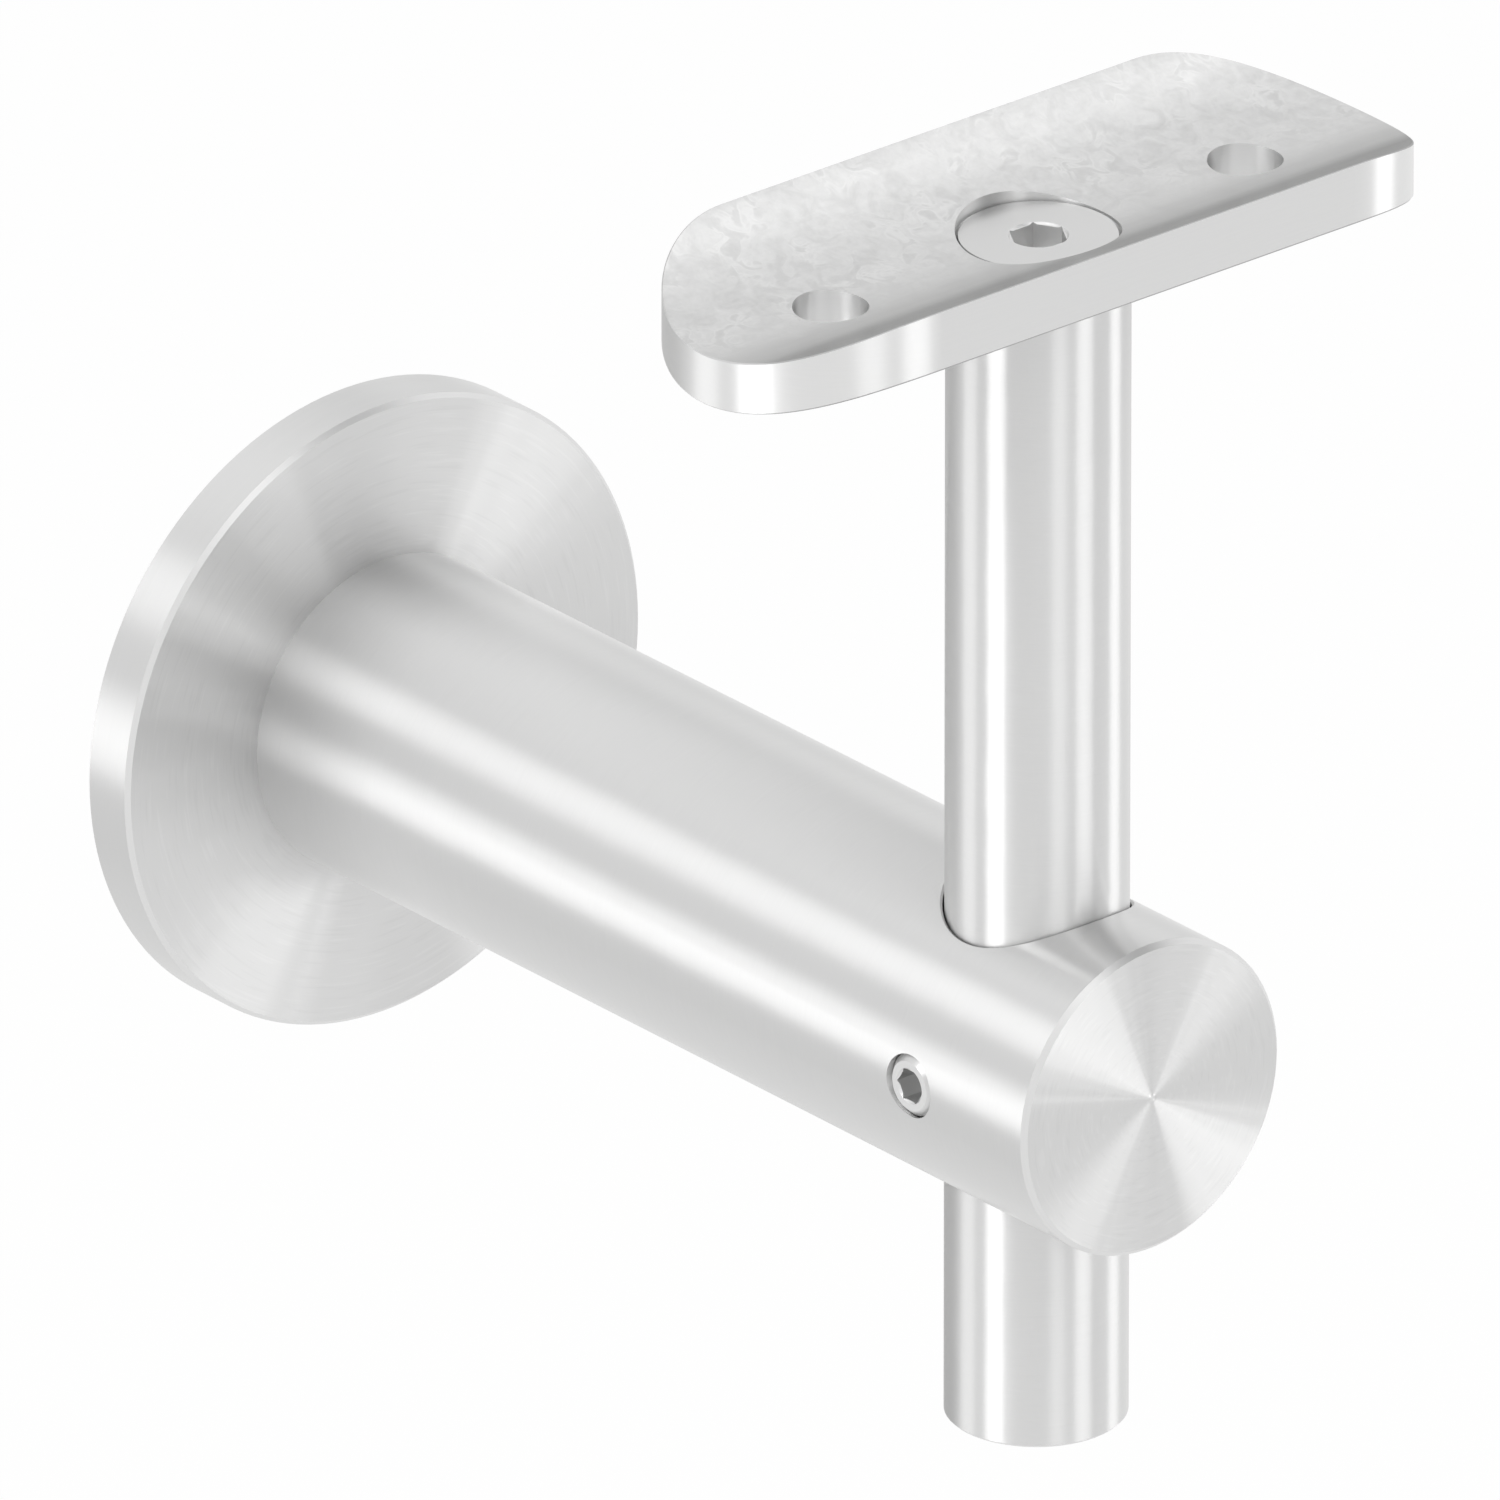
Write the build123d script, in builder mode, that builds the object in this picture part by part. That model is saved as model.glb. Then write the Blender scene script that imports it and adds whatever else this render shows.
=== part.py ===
from build123d import *
import math
import os

# A wall bracket for a round handrail, in millimetres. A turned flange and a solid round arm
# stand out from the wall. A round post slides and turns in a cross bore near the arm's end,
# where a grub screw clamps it, and a curved saddle on top of the post carries the rail.
#
# Frame: the origin is the centre of the flange's back face, on the wall. +Y points into the
# wall, the arm runs along -Y, +X is along the rail and +Z is up.

# Wall flange
flange_diameter = 51.0
flange_thickness = 4.8
flange_front_chamfer = 0.35
flange_back_chamfer = 0.3

# Arm, with a spigot at its back that goes through the flange
arm_diameter = 25.4
arm_end_chamfer = 0.4
spigot_diameter = 16.0
spigot_chamfer = 0.3
wall_to_post = 81.5
post_to_arm_end = 13.4

# Tapped hole in the spigot, for a wall stud that is supplied on site
stud_hole_diameter = 6.8
stud_hole_depth = 22.0
stud_hole_mouth = 0.4

# Post, whose bottom end is post_drop under the arm's axis
post_diameter = 14.0
post_drop = 30.8
post_bottom_chamfer = 0.2
post_top_chamfer = 0.3
post_bore_clearance = 0.15
post_bore_chamfer = 0.2

# Saddle, whose lowest top line is saddle_height over the arm's axis
rail_diameter = 42.4
rail_clearance = 0.3
saddle_height = 66.9
saddle_length = 66.1
saddle_width = 25.4
saddle_thickness = 4.1
saddle_edge_chamfer = 0.1
rail_hole_diameter = 5.8
rail_hole_spacing = 40.8

# Flat spot face under the saddle, which the post's top seats on
spot_face_depth = 0.5
spot_face_clearance = 0.3

# Countersunk screw that holds the saddle on the post
saddle_screw_diameter = 6.0
saddle_screw_length = 16.0
saddle_screw_head_diameter = 12.1
saddle_screw_head_rim = 0.3
saddle_screw_head_drop = 0.05
saddle_screw_socket_width = 4.0
saddle_screw_socket_depth = 2.2
countersink_clearance = 0.08
countersink_mouth_clearance = 0.25
saddle_passage_clearance = 0.3
post_thread_depth = 18.0
post_thread_mouth = 0.6

# Grub screw that clamps the post
clamp_screw_diameter = 5.0
clamp_screw_recess = 0.1
clamp_screw_socket_width = 2.5
clamp_screw_socket_depth = 2.6
clamp_screw_tip_clearance = 0.1

# Shared by both screws and the tapped holes
thread_clearance = 0.05
screw_end_chamfer = 0.5
socket_mouth = 0.15
drill_point_angle = 118.0

# Worked out from the sizes above
arm_radius = arm_diameter / 2
post_radius = post_diameter / 2
post_bore_radius = post_radius + post_bore_clearance
post_top_height = saddle_height - saddle_thickness + spot_face_depth
cradle_radius = rail_diameter / 2 + rail_clearance
underside_radius = cradle_radius + saddle_thickness
rail_axis_height = saddle_height + cradle_radius
saddle_screw_radius = saddle_screw_diameter / 2
saddle_screw_head_radius = saddle_screw_head_diameter / 2
saddle_screw_top = saddle_height - saddle_screw_head_drop
saddle_screw_rim_height = saddle_screw_top - saddle_screw_head_rim
saddle_screw_bottom = saddle_screw_top - saddle_screw_length
saddle_screw_cone_bottom = saddle_screw_rim_height - saddle_screw_head_radius + saddle_screw_radius
clamp_screw_face = arm_radius - clamp_screw_recess
clamp_screw_length = clamp_screw_face - post_radius - clamp_screw_tip_clearance
drill_point_slope = math.tan(math.radians(drill_point_angle / 2))

# The post's axis, and the plane through it as seen from the front
post_axis = Axis((0, -wall_to_post, 0), (0, 0, 1))
post_plane = Plane.XZ.offset(wall_to_post)


def drilled_hole_profile(top, radius, depth, mouth):
    # Half section of a blind hole down from (0, top): a small countersink at its mouth,
    # a straight wall and a drill point
    return [
        (0, top),
        (radius + mouth, top),
        (radius, top - mouth),
        (radius, top - depth),
        (0, top - depth - radius / drill_point_slope),
    ]


# Wall flange: a turned disc with a bore for the arm's spigot
with BuildPart() as wall_flange:
    with BuildSketch(Plane.XZ):
        Circle(flange_diameter / 2)
        Circle(spigot_diameter / 2, mode=Mode.SUBTRACT)
    extrude(amount=flange_thickness)
    rims = wall_flange.edges().filter_by(GeomType.CIRCLE).group_by(SortBy.RADIUS)[-1]
    chamfer(rims.sort_by(Axis.Y)[0], flange_front_chamfer)
    chamfer(rims.sort_by(Axis.Y)[-1], flange_back_chamfer)

# Arm: a solid round bar that stands on the flange, and its spigot through the flange's bore
with BuildPart() as arm:
    with BuildSketch(Plane.XZ.offset(flange_thickness)):
        Circle(arm_radius)
    extrude(amount=wall_to_post + post_to_arm_end - flange_thickness)
    chamfer(arm.faces().sort_by(Axis.Y)[0].edges(), arm_end_chamfer)
    with BuildSketch(Plane.XZ):
        Circle(spigot_diameter / 2)
    extrude(amount=flange_thickness)
    chamfer(arm.faces().sort_by(Axis.Y)[-1].edges(), spigot_chamfer)
    # Tapped hole for the wall stud, open at the back
    stud_hole = drilled_hole_profile(0, stud_hole_diameter / 2, stud_hole_depth, stud_hole_mouth)
    with BuildSketch(Plane.XY):
        with BuildLine():
            Polyline(*stud_hole, close=True)
        make_face()
    revolve(axis=Axis.Y, mode=Mode.SUBTRACT)
    # Cross bore for the post, its two mouths lightly chamfered
    with BuildSketch(Plane.XY):
        with Locations((0, -wall_to_post)):
            Circle(post_bore_radius)
    extrude(amount=arm_diameter, both=True, mode=Mode.SUBTRACT)
    bore_edges = arm.edges(Select.LAST)
    chamfer(bore_edges - bore_edges.filter_by(GeomType.LINE), post_bore_chamfer)
    # Tapped hole for the grub screw, from the arm's left side into the cross bore
    with BuildSketch(Plane.YZ):
        with Locations((-wall_to_post, 0)):
            Circle(clamp_screw_diameter / 2 + thread_clearance)
    extrude(amount=-arm_diameter, mode=Mode.SUBTRACT)

# Post: a round bar with a tapped hole in its top
with BuildPart() as post:
    with BuildSketch(Plane.XY.offset(-post_drop)):
        with Locations((0, -wall_to_post)):
            Circle(post_radius)
    extrude(amount=post_drop + post_top_height)
    chamfer(post.faces().sort_by(Axis.Z)[0].edges(), post_bottom_chamfer)
    chamfer(post.faces().sort_by(Axis.Z)[-1].edges(), post_top_chamfer)
    thread_radius = saddle_screw_radius + thread_clearance
    thread_hole = drilled_hole_profile(
        post_top_height, thread_radius, post_thread_depth, post_thread_mouth
    )
    with BuildSketch(post_plane):
        with BuildLine():
            Polyline(*thread_hole, close=True)
        make_face()
    revolve(axis=post_axis, mode=Mode.SUBTRACT)

# Saddle: a plate with round ends, curved to the rail above and parallel to that below
with BuildPart() as saddle:
    with BuildSketch(Plane.XY.offset(saddle_height - saddle_thickness)):
        with Locations((0, -wall_to_post)):
            SlotOverall(saddle_length, saddle_width)
    extrude(amount=saddle_thickness + cradle_radius)
    with BuildSketch(Plane.YZ):
        with Locations((-wall_to_post, rail_axis_height)):
            Circle(underside_radius)
    extrude(amount=saddle_length, both=True, mode=Mode.INTERSECT)
    with BuildSketch(Plane.YZ):
        with Locations((-wall_to_post, rail_axis_height)):
            Circle(cradle_radius)
    extrude(amount=saddle_length, both=True, mode=Mode.SUBTRACT)
    chamfer(saddle.edges() - saddle.edges().filter_by(Axis.Z), saddle_edge_chamfer)
    # Two plain holes for the screws that go up into the rail
    with BuildSketch(Plane.XY.offset(saddle_height)):
        with Locations((0, -wall_to_post)):
            with GridLocations(rail_hole_spacing, 1, 2, 1):
                Circle(rail_hole_diameter / 2)
    extrude(amount=cradle_radius, both=True, mode=Mode.SUBTRACT)
    # Countersink: a cone parallel to the screw's head, with a straight wall up to the cradle
    mouth_radius = saddle_screw_head_radius + countersink_mouth_clearance
    passage_radius = saddle_screw_radius + saddle_passage_clearance
    cone_drop = saddle_screw_head_radius + countersink_clearance * math.sqrt(2)
    cone_tip = saddle_screw_rim_height - cone_drop
    with BuildSketch(post_plane):
        with BuildLine():
            Polyline(
                (0, rail_axis_height),
                (mouth_radius, rail_axis_height),
                (mouth_radius, cone_tip + mouth_radius),
                (passage_radius, cone_tip + passage_radius),
                (passage_radius, saddle_height - underside_radius),
                (0, saddle_height - underside_radius),
                close=True,
            )
        make_face()
    revolve(axis=post_axis, mode=Mode.SUBTRACT)
    # Spot face for the post's top
    with BuildSketch(Plane.XY.offset(post_top_height)):
        with Locations((0, -wall_to_post)):
            Circle(post_radius + spot_face_clearance)
    extrude(amount=-saddle_thickness, mode=Mode.SUBTRACT)

# Saddle screw: a countersunk head with a hexagon socket, on a plain shank
with BuildPart() as saddle_screw:
    with BuildSketch(post_plane):
        with BuildLine():
            Polyline(
                (0, saddle_screw_top),
                (saddle_screw_head_radius, saddle_screw_top),
                (saddle_screw_head_radius, saddle_screw_rim_height),
                (saddle_screw_radius, saddle_screw_cone_bottom),
                (saddle_screw_radius, saddle_screw_bottom + screw_end_chamfer),
                (saddle_screw_radius - screw_end_chamfer, saddle_screw_bottom),
                (0, saddle_screw_bottom),
                close=True,
            )
        make_face()
    revolve(axis=post_axis)
    with BuildSketch(Plane.XY.offset(saddle_screw_top)):
        with Locations((0, -wall_to_post)):
            RegularPolygon(saddle_screw_socket_width / 2, side_count=6, major_radius=False)
    extrude(amount=-saddle_screw_socket_depth, mode=Mode.SUBTRACT)
    with BuildSketch(Plane.XY.offset(saddle_screw_top)):
        with Locations((0, -wall_to_post)):
            Circle(saddle_screw_socket_width / math.sqrt(3))
    extrude(amount=-socket_mouth, taper=45, mode=Mode.SUBTRACT)

# Clamp screw: a socket grub screw whose flat tip meets the post
with BuildPart() as clamp_screw:
    with BuildSketch(Plane.YZ.offset(-clamp_screw_face)):
        with Locations((-wall_to_post, 0)):
            Circle(clamp_screw_diameter / 2)
    extrude(amount=clamp_screw_length)
    chamfer(clamp_screw.edges().filter_by(GeomType.CIRCLE), screw_end_chamfer)
    with BuildSketch(Plane.YZ.offset(-clamp_screw_face)):
        with Locations((-wall_to_post, 0)):
            RegularPolygon(clamp_screw_socket_width / 2, side_count=6, major_radius=False)
    extrude(amount=clamp_screw_socket_depth, mode=Mode.SUBTRACT)
    with BuildSketch(Plane.YZ.offset(-clamp_screw_face)):
        with Locations((-wall_to_post, 0)):
            Circle(clamp_screw_socket_width / math.sqrt(3))
    extrude(amount=socket_mouth, taper=45, mode=Mode.SUBTRACT)

os.makedirs("parts", exist_ok=True)

wall_flange.part.label = "wall_flange"
export_step(wall_flange.part, "parts/wall_flange.step")

arm.part.label = "arm"
export_step(arm.part, "parts/arm.step")

post.part.label = "post"
export_step(post.part, "parts/post.step")

saddle.part.label = "saddle"
export_step(saddle.part, "parts/saddle.step")

saddle_screw.part.label = "saddle_screw"
export_step(saddle_screw.part, "parts/saddle_screw.step")

clamp_screw.part.label = "clamp_screw"
export_step(clamp_screw.part, "parts/clamp_screw.step")
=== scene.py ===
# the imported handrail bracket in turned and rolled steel, with the stud hole's thread, in a white studio

import math

import bmesh
import bpy
from mathutils import Matrix, Vector


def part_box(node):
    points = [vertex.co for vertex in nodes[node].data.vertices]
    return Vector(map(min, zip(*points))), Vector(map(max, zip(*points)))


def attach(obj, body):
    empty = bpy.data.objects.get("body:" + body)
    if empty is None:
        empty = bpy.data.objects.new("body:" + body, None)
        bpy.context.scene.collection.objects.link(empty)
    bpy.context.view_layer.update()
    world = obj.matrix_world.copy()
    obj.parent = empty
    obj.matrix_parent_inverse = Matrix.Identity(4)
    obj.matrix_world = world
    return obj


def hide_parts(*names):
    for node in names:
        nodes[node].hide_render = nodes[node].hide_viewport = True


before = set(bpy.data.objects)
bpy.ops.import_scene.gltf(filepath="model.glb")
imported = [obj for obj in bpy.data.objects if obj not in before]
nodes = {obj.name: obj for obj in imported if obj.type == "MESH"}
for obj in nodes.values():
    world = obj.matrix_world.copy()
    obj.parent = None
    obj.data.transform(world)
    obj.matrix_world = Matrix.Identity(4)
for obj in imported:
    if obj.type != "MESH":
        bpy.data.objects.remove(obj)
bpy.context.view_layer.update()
print("bracket loaded:", ", ".join(sorted(nodes)))

mm = 0.001
blueShare = 0.997  # the steel and the floor are a trace warmer than grey


# shader maths

class Wire:
    # one output socket, written into sums with plain operators
    def __init__(self, shader, socket):
        self.shader = shader
        self.socket = socket

    def __add__(self, other):
        return self.shader.maths("ADD", self, other)

    def __radd__(self, other):
        return self.shader.maths("ADD", other, self)

    def __sub__(self, other):
        return self.shader.maths("SUBTRACT", self, other)

    def __rsub__(self, other):
        return self.shader.maths("SUBTRACT", other, self)

    def __mul__(self, other):
        return self.shader.maths("MULTIPLY", self, other)

    def __rmul__(self, other):
        return self.shader.maths("MULTIPLY", other, self)

    def __truediv__(self, other):
        return self.shader.maths("DIVIDE", self, other)

    def __rtruediv__(self, other):
        return self.shader.maths("DIVIDE", other, self)

    def __pow__(self, other):
        return self.shader.maths("POWER", self, other)

    def __rpow__(self, other):
        return self.shader.maths("POWER", other, self)

    def __abs__(self):
        return self.shader.maths("ABSOLUTE", self)

    def ramp(self, low, high):
        # 0 below low, 1 above high, eased between
        inputs = {"Value": self, "From Min": low, "From Max": high}
        settings = {"interpolation_type": "SMOOTHSTEP"}
        return self.shader.add("ShaderNodeMapRange", settings, inputs)["Result"]


class Outputs:
    # a node's outputs, by name
    def __init__(self, shader, node):
        self.shader = shader
        self.node = node

    def __getitem__(self, name):
        return Wire(self.shader, self.node.outputs[name])


class Shader:
    # a material's node tree
    def __init__(self, name):
        self.material = bpy.data.materials.new(name)
        self.material.use_nodes = True
        self.tree = self.material.node_tree
        self.tree.nodes.clear()

    def add(self, kind, settings=None, inputs=None):
        node = self.tree.nodes.new(kind)
        for key, value in (settings or {}).items():
            setattr(node, key, value)
        for key, value in (inputs or {}).items():
            if isinstance(value, Wire):
                self.tree.links.new(value.socket, node.inputs[key])
            else:
                node.inputs[key].default_value = value
        return Outputs(self, node)

    def finish(self, surface):
        self.add("ShaderNodeOutputMaterial", inputs={"Surface": surface})
        return self.material

    def maths(self, operation, *values):
        return self.add("ShaderNodeMath", {"operation": operation}, dict(enumerate(values)))["Value"]

    def place(self, axis=None):
        # the piece's own coordinates, or those seen from an axis: a point on it, and its turn from upright
        place = self.add("ShaderNodeTexCoord")["Object"]
        if not axis:
            return place
        inputs = {"Vector": place, "Location": axis["point"], "Rotation": axis["turn"]}
        return self.add("ShaderNodeMapping", {"vector_type": "TEXTURE"}, inputs)["Vector"]

    def tilt(self):
        # the normal's own Z: 1 or -1 on a face across the piece's Z axis, and 0 on a side along it
        return self.split(self.add("ShaderNodeTexCoord")["Normal"])[2]

    def split(self, vector):
        parts = self.add("ShaderNodeSeparateXYZ", inputs={"Vector": vector})
        return parts["X"], parts["Y"], parts["Z"]

    def join(self, x, y, z):
        return self.add("ShaderNodeCombineXYZ", inputs={"X": x, "Y": y, "Z": z})["Vector"]

    def noise(self, vector, pitch=1.0, detail=2.0, roughness=0.5, swirl=0.0):
        inputs = {
            "Vector": vector,
            "Scale": 1 / pitch,
            "Detail": detail,
            "Roughness": roughness,
            "Distortion": swirl,
        }
        return self.add("ShaderNodeTexNoise", inputs=inputs)["Fac"]

    def rings(self, value, pitch, detail=3.0, roughness=0.6):
        # noise along one value only, so that equal values make a line
        settings = {"noise_dimensions": "1D"}
        inputs = {"W": value, "Scale": 1 / pitch, "Detail": detail, "Roughness": roughness}
        return self.add("ShaderNodeTexNoise", settings, inputs)["Fac"]

    def greys(self, shade):
        # a varying brightness as a colour
        inputs = {"Red": shade, "Green": shade, "Blue": shade * blueShare}
        return self.add("ShaderNodeCombineColor", inputs=inputs)["Color"]

    def bump(self, height):
        # the height is in metres
        inputs = {"Height": height, "Distance": 1.0, "Strength": 1.0}
        return self.add("ShaderNodeBump", inputs=inputs)["Normal"]

    def mix(self, share, first, second):
        # first where share is 0, second where it is 1
        return self.add("ShaderNodeMixShader", inputs={"Fac": share, 1: first, 2: second})["Shader"]


def grey(value):
    return (value, value, value * blueShare, 1.0)


def varied(middle, noise, spread):
    return middle + (noise - 0.5) * spread


def between(low, high, share):
    return low + share * (high - low)


def steel(shader, look, colour, roughness, normal):
    inputs = {
        "Base Color": colour,
        "Metallic": 1.0,
        "Roughness": roughness,
        "Anisotropic": look["stretch"],
        "Anisotropic Rotation": look["turn"],
        "Specular Tint": grey(look["edgeTint"]),
        "Normal": normal,
    }
    return shader.add("ShaderNodeBsdfPrincipled", inputs=inputs)["BSDF"]


# lathe-turned steel: fine rings and gentle waves round the piece's axis, short arcs, a pip at the centre of
# its faces, bevels without the stretched sheen, and on the arm a rougher corner at the flange with painted
# shade, darker mostly on its upper side

turnedLook = {
    "colour": 0.735,
    "colourSpread": 0.02,
    "roughness": 0.34,
    "roughnessSpread": 0.04,
    "stretch": 1.0,  # of the sheen, across the tool marks
    "turn": 0.25,
    "edgeTint": 1.0,
    "faceTilt": (0.7, 0.9),  # squared tilt, from bevel to face
    "bevelTilt": (0.1, 0.25),  # squared tilt, from side to bevel
    "bevel": {"stretch": 0.0, "turn": 0.0, "edgeTint": 1.0},
    "bevelRoughness": 0.36,
    "hub": 0.01 * mm,  # keeps the very centre from dividing by nothing
    "ringPitch": 0.16 * mm,
    "faceRingDepth": 0.00025 * mm,
    "sideRingDepth": 0.00005 * mm,
    "arcPitch": 0.3 * mm,
    "arcLength": 0.22,  # share of the radius
    "lightArcs": (0.58, 0.72),  # the noise that shows as lighter arcs
    "darkArcs": (0.28, 0.42),
    "faceArcShade": 0.022,
    "sideArcShade": 0.006,
    "sway": 0.012,
    "swayTurns": 2.2,
    "wavePitch": 5.0 * mm,
    "waveTurns": 2.0,
    "waveDepth": 0.03 * mm,
    "pipRadius": 0.45 * mm,
    "pipSlope": (0.5, 1.0),  # shares of its radius
    "pipHeight": 0.05 * mm,
    "cornerReach": 14.0 * mm,
    "cornerRoughness": 0.2,
    # painted shade: the arm's colour darkened near the flange, mostly on its upper side, where it reflects
    # the flange
    "cornerShade": 0.12,
    "cornerUpperSide": (-0.6, 0.3),  # height round the arm, in shares of its radius
    "cornerLowerShare": 0.2,
}


def turnedSteel(name, look, axis=None, corner=None):
    shader = Shader(name)
    x, y, z = shader.split(shader.place(axis))
    tilt = shader.tilt()
    face = (tilt * tilt).ramp(*look["faceTilt"])
    bevelled = (tilt * tilt).ramp(*look["bevelTilt"]) * (1 - face)
    radius = (x * x + y * y) ** 0.5
    cosine = x / (radius + look["hub"])
    sine = y / (radius + look["hub"])
    ring = radius - z  # counts outwards on a face and along on a side
    rings = shader.rings(ring, look["ringPitch"])
    arcPlace = shader.join(cosine / look["arcLength"], sine / look["arcLength"], ring / look["arcPitch"])
    arcs = shader.noise(arcPlace, detail=1.0)
    lightArcs = arcs.ramp(*look["lightArcs"])
    darkArcs = 1 - arcs.ramp(*look["darkArcs"])
    sway = shader.noise(shader.join(cosine * look["swayTurns"], sine * look["swayTurns"], 0.0))
    wavePlace = shader.join(cosine * look["waveTurns"], sine * look["waveTurns"], z / look["wavePitch"])
    waves = shader.noise(wavePlace, detail=1.0)
    pip = 1 - (radius / look["pipRadius"]).ramp(*look["pipSlope"])
    height = rings * between(look["sideRingDepth"], look["faceRingDepth"], face)
    height = height + face * (sway * radius * look["sway"] + pip * look["pipHeight"])
    height = height + (1 - face) * waves * look["waveDepth"]
    normal = shader.bump(height)
    arcShade = between(look["sideArcShade"], look["faceArcShade"], face)
    shade = varied(look["colour"], rings, look["colourSpread"]) + (lightArcs - darkArcs) * arcShade
    roughness = varied(look["roughness"], rings, look["roughnessSpread"])
    if corner:
        outwards = radius - corner["radius"]
        along = z - corner["height"]
        # near the flange the arm is rougher, and painted shade darkens its colour in place of the flange's
        # dark reflection
        paintedShadeAndDull = 1 - (outwards * outwards + along * along) ** 0.5 / look["cornerReach"]
        upper = sine.ramp(*look["cornerUpperSide"])
        paintedShadeAndDull = paintedShadeAndDull.ramp(0.0, 1.0) * between(look["cornerLowerShare"], 1.0, upper)
        shade = shade - paintedShadeAndDull * look["cornerShade"]
        roughness = roughness + paintedShadeAndDull * look["cornerRoughness"]
    colour = shader.greys(shade)
    turned = steel(shader, look, colour, roughness, normal)
    bevel = steel(shader, look["bevel"], colour, look["bevelRoughness"], normal)
    return shader.finish(shader.mix(bevelled, turned, bevel))


# the saddle: walls with level tool marks, and a rolled skin above and below, darker at its front by painted
# shade and paler in the screw's recess by painted light

saddleLook = {
    "skinTilt": (0.25, 0.45),  # tilt, from wall to skin
    "recessRadius": 6.25 * mm,
    "recessEdge": (0.97, 1.0),  # shares of its radius
    "skin": {
        "colour": 0.63,
        "roughness": 0.34,
        "roughnessSpread": 0.14,
        "stretch": 0.0,
        "turn": 0.0,
        "edgeTint": 0.92,
        "mottleEdge": (-4.5 * mm, 2.5 * mm),  # from the saddle's middle line, front to back
        "mottleSway": 4.0 * mm,
        "patch": 1.9 * mm,
        "patchSwirl": 1.2,
        "patchShade": 0.22,
        "patchDepth": 0.03 * mm,
        "wisp": 1.9 * mm,
        "wispSwirl": 1.2,
        "wispThinness": 10.0,
        "wispShade": 0.06,
        "clump": 4.0 * mm,
        "clumpEdge": (0.45, 0.65),  # the noise at which the wisps come in
        "speck": 0.5 * mm,
        "speckShade": 0.08,
        "speckDepth": 0.003 * mm,
        "streakLength": 9.0 * mm,
        "streakPitch": 0.7 * mm,
        "streakShade": 0.06,
        "frontEdge": (-7.0 * mm, -4.5 * mm),
        # painted shade: a dark band along the front edge, in place of the dark reflection there
        "frontShade": 0.2,
        "recessRoughness": 0.2,
        # painted light: the countersink's recess made paler against its dark reflection
        "recessShade": 0.2,
    },
    "wall": {
        "colour": 0.82,
        "colourSpread": 0.03,
        "roughness": 0.36,
        "roughnessSpread": 0.04,
        "stretch": 1.0,
        "turn": 0.25,
        "edgeTint": 1.0,
        "markPitch": 0.15 * mm,
        "markLength": 3.0 * mm,
        "markDepth": 0.0006 * mm,
    },
}


def saddleSkin(shader, look, place, recess):
    # streaks all along, and patches, curled wisps and specks towards the back
    x, y = shader.split(place)[:2]
    patches = shader.noise(place, look["patch"], detail=3.0, roughness=0.55, swirl=look["patchSwirl"])
    curls = shader.noise(place, look["wisp"], swirl=look["wispSwirl"]) - 0.5
    clumps = shader.noise(place, look["clump"], detail=1.0).ramp(*look["clumpEdge"])
    wisps = (1 - (abs(curls) * look["wispThinness"]).ramp(0.0, 1.0)) * clumps
    specks = shader.noise(place, look["speck"], roughness=0.6)
    streakPlace = shader.join(x / look["streakLength"], y / look["streakPitch"], 0.0)
    streaks = shader.noise(streakPlace, detail=3.0, roughness=0.6)
    mottle = varied(y, patches, look["mottleSway"]).ramp(*look["mottleEdge"]) * (1 - recess)
    front = 1 - y.ramp(*look["frontEdge"])
    marks = (patches - 0.5) * look["patchShade"] + wisps * look["wispShade"]
    marks = varied(marks, specks, look["speckShade"])
    # painted shade darkens the front
    shade = varied(look["colour"], streaks, look["streakShade"]) - front * look["frontShade"]
    # painted light pales the recess
    shade = shade + mottle * marks + recess * look["recessShade"]
    roughness = varied(look["roughness"], patches, look["roughnessSpread"])
    roughness = roughness + recess * look["recessRoughness"]
    normal = shader.bump(mottle * patches * look["patchDepth"] + specks * look["speckDepth"])
    return steel(shader, look, shader.greys(shade), roughness, normal)


def saddleWall(shader, look, place):
    x, y, z = shader.split(place)
    markPlace = shader.join(x / look["markLength"], y / look["markLength"], z / look["markPitch"])
    marks = shader.noise(markPlace)
    shade = varied(look["colour"], marks, look["colourSpread"])
    roughness = varied(look["roughness"], marks, look["roughnessSpread"])
    normal = shader.bump(marks * look["markDepth"])
    return steel(shader, look, shader.greys(shade), roughness, normal)


def saddleSteel(name, look, axis):
    shader = Shader(name)
    place = shader.place(axis)
    x, y = shader.split(place)[:2]
    radius = (x * x + y * y) ** 0.5
    recess = 1 - (radius / look["recessRadius"]).ramp(*look["recessEdge"])
    share = shader.maths("MAXIMUM", abs(shader.tilt()).ramp(*look["skinTilt"]), recess)
    wall = saddleWall(shader, look["wall"], place)
    skin = saddleSkin(shader, look["skin"], place, recess)
    return shader.finish(shader.mix(share, wall, skin))


# screws: plain machined steel, rougher inside the socket, where the broach left it, and paler there by
# painted light that lifts the socket's shade

screwLook = {
    "colour": 0.66,
    "colourSpread": 0.03,
    "roughness": 0.34,
    "roughnessSpread": 0.06,
    "stretch": 0.3,
    "turn": 0.25,
    "edgeTint": 1.0,
    "ringPitch": 0.1 * mm,
    "ringDepth": 0.0003 * mm,
    "saddleScrewSocket": 2.35 * mm,  # radius round the socket's corners
    "clampScrewSocket": 1.47 * mm,
    "socketEdge": (0.95, 1.05),  # shares of that radius
    # painted light: a paler colour inside the socket, lifting its shade
    "socketColour": 0.72,
    "socketRoughness": 0.45,
}


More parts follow.
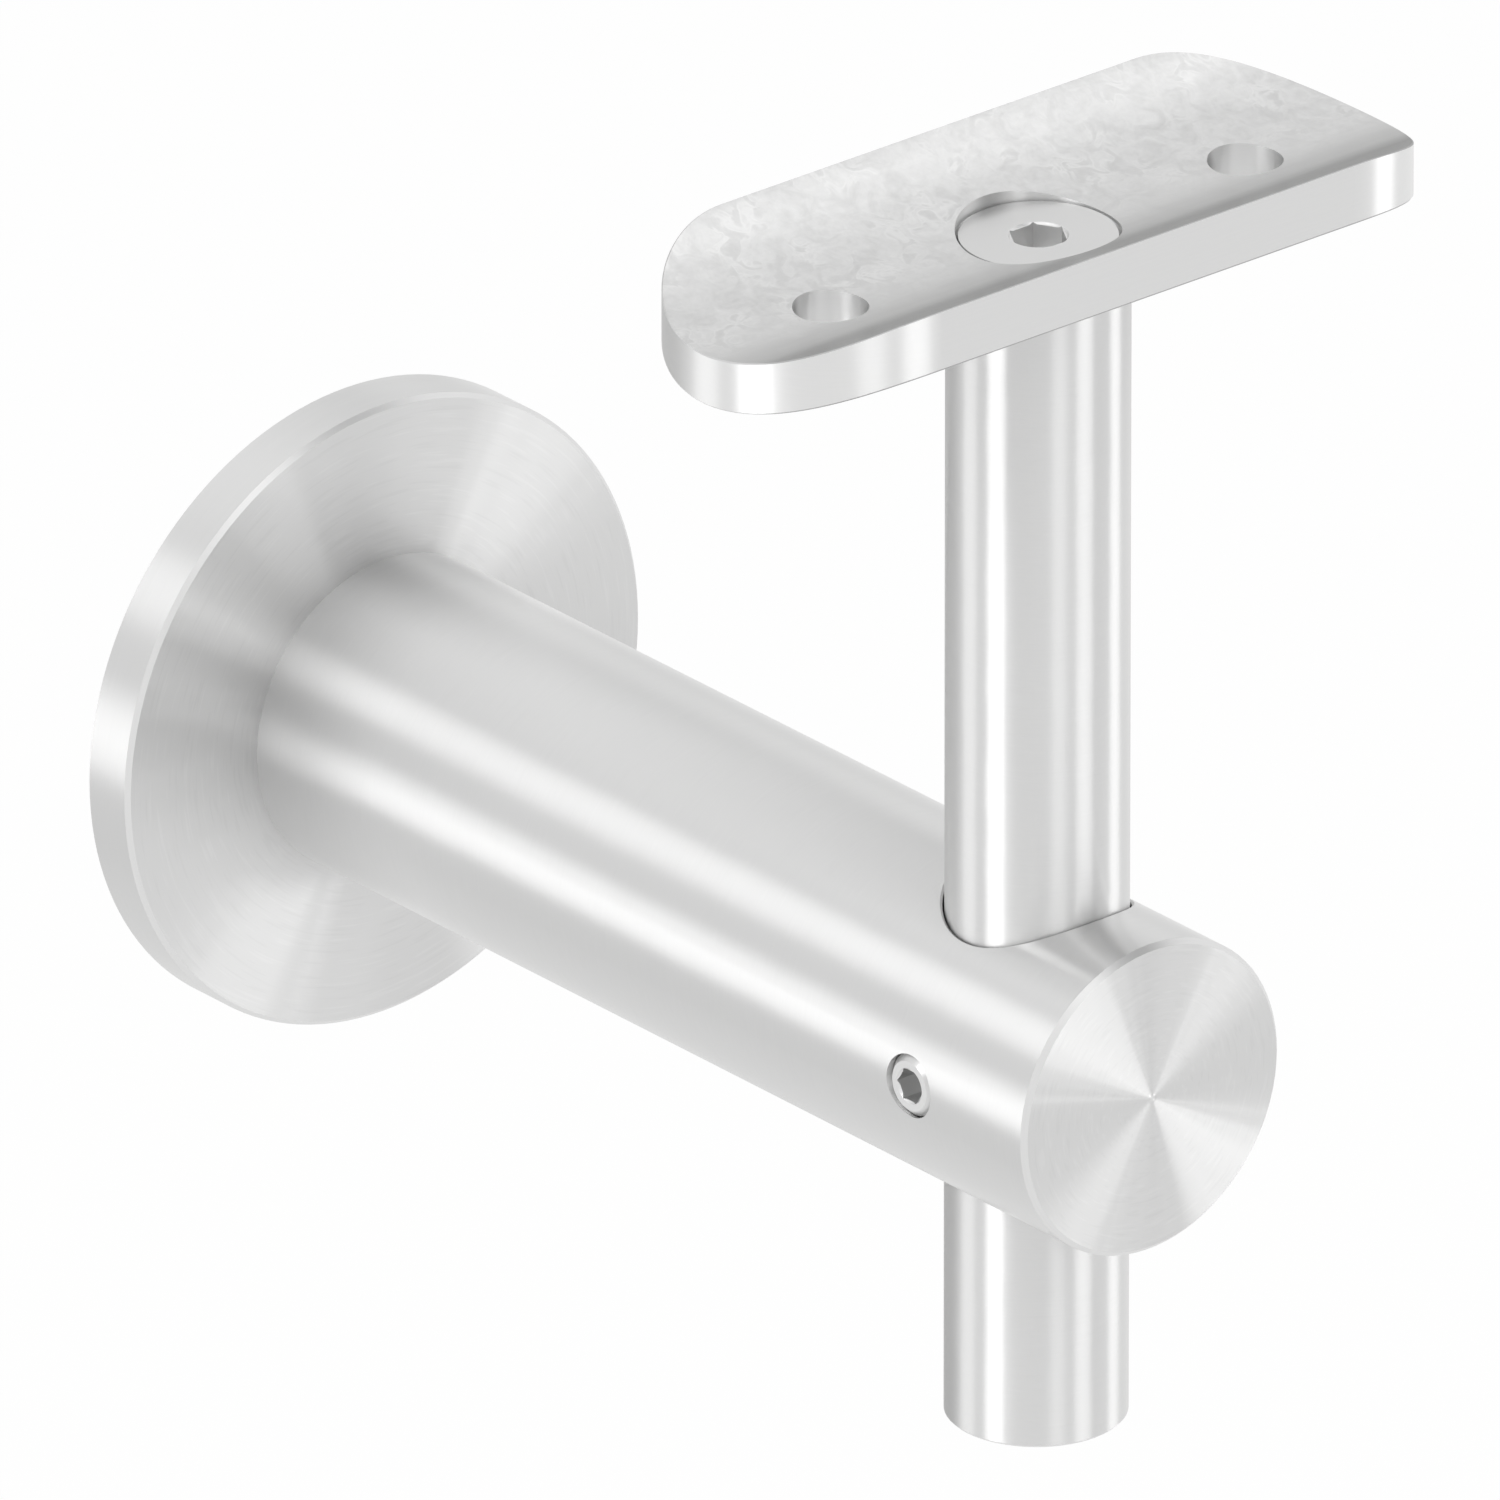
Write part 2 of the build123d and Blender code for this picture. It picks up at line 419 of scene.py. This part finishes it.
def screwSteel(name, look, axis, socketRadius):
    shader = Shader(name)
    x, y, z = shader.split(shader.place(axis))
    radius = (x * x + y * y) ** 0.5
    rings = shader.rings(radius - z, look["ringPitch"])
    shade = varied(look["colour"], rings, look["colourSpread"])
    roughness = varied(look["roughness"], rings, look["roughnessSpread"])
    socket = 1 - (radius / socketRadius).ramp(*look["socketEdge"])
    # painted light makes the socket paler than the screw
    shade = shade + socket * (look["socketColour"] - look["colour"])
    roughness = roughness + socket * (look["socketRoughness"] - look["roughness"])
    normal = shader.bump(rings * look["ringDepth"])
    return shader.finish(steel(shader, look, shader.greys(shade), roughness, normal))


def coat(piece, material):
    for slot in piece.material_slots:
        slot.material = material


def addObject(name, data):
    added = bpy.data.objects.new(name, data)
    bpy.context.scene.collection.objects.link(added)
    return added


# the flange and the arm are copies whose own Z axis is the arm's axis, so that the sheen runs round it

def turnedCopy(node, name, body, material):
    toFrame = Matrix.Rotation(math.radians(90.0), 4, "X")
    mesh = nodes[node].data.copy()
    mesh.transform(toFrame.inverted())
    piece = addObject(name, mesh)
    piece.matrix_world = toFrame
    coat(piece, material)
    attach(piece, body)
    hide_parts(node)


# the thread of the wall stud's hole, open at the back of the flange

studThread = {
    "rootRadius": 3.42 * mm,
    "crestRadius": 3.1 * mm,
    "pitch": 1.25 * mm,
    "ridgeWidth": 1.0 * mm,
    "crestWidth": 0.2 * mm,
    "start": 0.9 * mm,
    "turns": 16,
    "stepsPerTurn": 48,
    "mouthDepth": 2.0 * mm,  # down to here its top and bottom have a socket's finish, rougher and paler by painted light
}


def addStudThread(look, material):
    section = [
        (look["rootRadius"], -look["ridgeWidth"] / 2),
        (look["crestRadius"], -look["crestWidth"] / 2),
        (look["crestRadius"], look["crestWidth"] / 2),
        (look["rootRadius"], look["ridgeWidth"] / 2),
    ]
    helix = bmesh.new()
    rows = []
    for step in range(look["turns"] * look["stepsPerTurn"] + 1):
        turn = step / look["stepsPerTurn"]
        angle = 2 * math.pi * turn
        depth = look["start"] + look["pitch"] * turn
        row = []
        for radius, offset in section:
            corner = (radius * math.cos(angle), -depth - offset, radius * math.sin(angle))
            row.append(helix.verts.new(corner))
        rows.append(row)
    corners = len(section)
    for near, far in zip(rows, rows[1:]):
        for i in range(corners):
            j = (i + 1) % corners
            helix.faces.new((near[i], near[j], far[j], far[i]))
    helix.faces.new(rows[0])
    helix.faces.new(rows[-1])
    bmesh.ops.recalc_face_normals(helix, faces=helix.faces)
    mesh = bpy.data.meshes.new("studThread")
    helix.to_mesh(mesh)
    helix.free()
    mesh.materials.append(material)
    piece = addObject("studThread", mesh)
    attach(piece, "arm")


# the post's axis crosses the arm's axis here, and the clamp screw points at it from the side

postLow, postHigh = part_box("post")
crossing = Vector(((postLow.x + postHigh.x) / 2, (postLow.y + postHigh.y) / 2, 0.0))
postAxis = {"point": crossing, "turn": (0.0, 0.0, 0.0)}
clampAxis = {"point": crossing, "turn": (0.0, math.radians(90.0), 0.0)}
cornerAtFlange = {"radius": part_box("arm")[1].x, "height": -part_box("wall_flange")[0].y}

armSteel = turnedSteel("turnedArmSteel", turnedLook, corner=cornerAtFlange)
flangeSteel = turnedSteel("turnedFlangeSteel", turnedLook)
turnedCopy("arm", "turnedArm", "arm", armSteel)
turnedCopy("wall_flange", "turnedFlange", "arm", flangeSteel)
coat(nodes["post"], turnedSteel("groundPostSteel", turnedLook, axis=postAxis))
coat(nodes["saddle"], saddleSteel("satinSaddleSteel", saddleLook, postAxis))
saddleSocket = screwLook["saddleScrewSocket"]
coat(nodes["saddle_screw"], screwSteel("saddleScrewSteel", screwLook, postAxis, saddleSocket))
clampSocket = screwLook["clampScrewSocket"]
coat(nodes["clamp_screw"], screwSteel("clampScrewSteel", screwLook, clampAxis, clampSocket))
print("steel on all pieces")
addStudThread(studThread, screwSteel("studThreadSteel", screwLook, None, studThread["mouthDepth"]))
print("stud thread in the flange's back")


# surroundings

stage = {
    "floorDrop": 0.83,
    "floorSize": 40.0,
    "floorColour": 0.93,
    "floorWhite": 0.8,  # share of plain white laid over the floor's own shade
    "worldLevel": 1.0,
    "lampDistance": 1.0,
    "cardDistance": 1.08,
    "cardCorners": 64,
}


def direction(place):
    # towards an azimuth and elevation in degrees, with azimuth 0 in front of the arm's end
    azimuth = math.radians(place["azimuth"])
    elevation = math.radians(place["elevation"])
    level = math.cos(elevation)
    return Vector((math.sin(azimuth) * level, -math.cos(azimuth) * level, math.sin(elevation)))


def paleFloor():
    # white to the camera and in the steel's reflections, under which the part's shadow still shows
    shader = Shader("paleFloor")
    rays = shader.add("ShaderNodeLightPath")
    seen = rays["Is Camera Ray"] + rays["Is Glossy Ray"] + rays["Is Transmission Ray"]
    share = shader.maths("MINIMUM", seen, 1.0) * stage["floorWhite"]
    lit = shader.add("ShaderNodeBsdfDiffuse", inputs={"Color": grey(stage["floorColour"])})["BSDF"]
    white = shader.add("ShaderNodeEmission", inputs={"Strength": 1.0})["Emission"]
    return shader.finish(shader.mix(share, lit, white))


def addFloor():
    half = stage["floorSize"] / 2
    height = -stage["floorDrop"]
    corners = [(-half, -half, height), (half, -half, height), (half, half, height), (-half, half, height)]
    mesh = bpy.data.meshes.new("floor")
    mesh.from_pydata(corners, [], [(0, 1, 2, 3)])
    mesh.materials.append(paleFloor())
    addObject("floor", mesh)


def addWorld():
    world = bpy.data.worlds.new("whiteRoom")
    world.use_nodes = True
    background = world.node_tree.nodes["Background"]
    background.inputs["Color"].default_value = (1.0, 1.0, 1.0, 1.0)
    background.inputs["Strength"].default_value = stage["worldLevel"]
    bpy.context.scene.world = world


def diskRadius(place, distance):
    return distance * math.tan(math.radians(place["spread"]))


def standOff(disk, place, distance):
    # out from the crossing, turned to face it, and unseen by the camera
    away = direction(place)
    disk.location = crossing + away * distance
    disk.rotation_mode = "QUATERNION"
    disk.rotation_quaternion = away.to_track_quat("Z", "Y")
    disk.visible_camera = False


# round softboxes: where each stands in degrees, half its width in degrees, and how much brighter than the
# white room it shines

lamps = {
    # level with the part, for the arm's lower band and the post's left line
    "left": {"azimuth": -92.0, "elevation": -10.0, "spread": 13.0, "level": 1.6},
    # a weaker one behind it, which widens the arm's lower band
    "backLeft": {"azimuth": -130.0, "elevation": -8.0, "spread": 12.0, "level": 0.6},
    # one above them for the arm's upper band
    "leftHigh": {"azimuth": -90.0, "elevation": 38.0, "spread": 13.0, "level": 1.9},
    # a large weak one overhead for the arm's top
    "above": {"azimuth": 0.0, "elevation": 75.0, "spread": 35.0, "level": 0.35},
    # two in front and one to the right, for the end face's rays and the post's wide light side
    "front": {"azimuth": -15.0, "elevation": 15.0, "spread": 10.0, "level": 1.2},
    "frontRight": {"azimuth": 17.0, "elevation": -5.0, "spread": 12.0, "level": 1.2},
    "right": {"azimuth": 65.0, "elevation": -4.0, "spread": 11.0, "level": 1.3},
    # one high on the right for the saddle's far edge
    "rightHigh": {"azimuth": 90.0, "elevation": 45.0, "spread": 12.0, "level": 0.4},
}


def addLamp(name, lamp):
    distance = stage["lampDistance"]
    radius = diskRadius(lamp, distance)
    light = bpy.data.lights.new(name, "AREA")
    light.shape = "DISK"
    light.size = 2 * radius
    light.energy = lamp["level"] * 4 * math.pi * radius * radius
    standOff(addObject(name, light), lamp, distance)


# grey cards beyond the lamps, which only the steel's reflections see in place of the white room

cards = {
    # beside the camera, for the flange's upper left
    "byTheCamera": {"azimuth": -45.0, "elevation": 30.0, "spread": 25.0, "level": 0.9},
    # above the right softboxes, for the dark rays between the light ones
    "frontRight": {"azimuth": 36.0, "elevation": 46.0, "spread": 18.0, "level": 0.15},
    # low behind, for the saddle's dull front half
    "backLow": {"azimuth": 165.0, "elevation": -15.0, "spread": 40.0, "level": 0.62},
}


def addCard(name, card):
    distance = stage["cardDistance"]
    radius = diskRadius(card, distance)
    disk = bmesh.new()
    bmesh.ops.create_circle(disk, cap_ends=True, segments=stage["cardCorners"], radius=radius)
    mesh = bpy.data.meshes.new(name)
    disk.to_mesh(mesh)
    disk.free()
    shader = Shader(name)
    inputs = {"Color": grey(card["level"]), "Strength": 1.0}
    mesh.materials.append(shader.finish(shader.add("ShaderNodeEmission", inputs=inputs)["Emission"]))
    cardObject = addObject(name, mesh)
    standOff(cardObject, card, distance)
    cardObject.visible_diffuse = False
    cardObject.visible_transmission = False
    cardObject.visible_shadow = False


# the photograph's view, far off so that it is almost parallel

view = {
    "azimuth": -40.15,
    "elevation": 25.15,
    "distance": 5.0,
    "frameWidth": 113.11 * mm,
    "aimRight": -21.63 * mm,  # of the crossing, in the picture
    "aimUp": 21.87 * mm,
    "clipEnd": 60.0,
}


def addCamera():
    data = bpy.data.cameras.new("camera")
    camera = addObject("camera", data)
    back = direction(view)
    turned = back.to_track_quat("Z", "Y")
    sideways = turned @ Vector((1.0, 0.0, 0.0))
    upwards = turned @ Vector((0.0, 1.0, 0.0))
    aim = crossing + sideways * view["aimRight"] + upwards * view["aimUp"]
    camera.rotation_mode = "QUATERNION"
    camera.rotation_quaternion = turned
    camera.location = aim + back * view["distance"]
    data.lens = data.sensor_width * view["distance"] / view["frameWidth"]
    data.clip_end = view["clipEnd"]
    bpy.context.scene.camera = camera


addFloor()
addWorld()
for lampName, lamp in lamps.items():
    addLamp(lampName + "Lamp", lamp)
for cardName, card in cards.items():
    addCard(cardName + "Card", card)
addCamera()
bpy.context.scene.view_settings.view_transform = "Standard"
print("floor, lamps and camera ready")
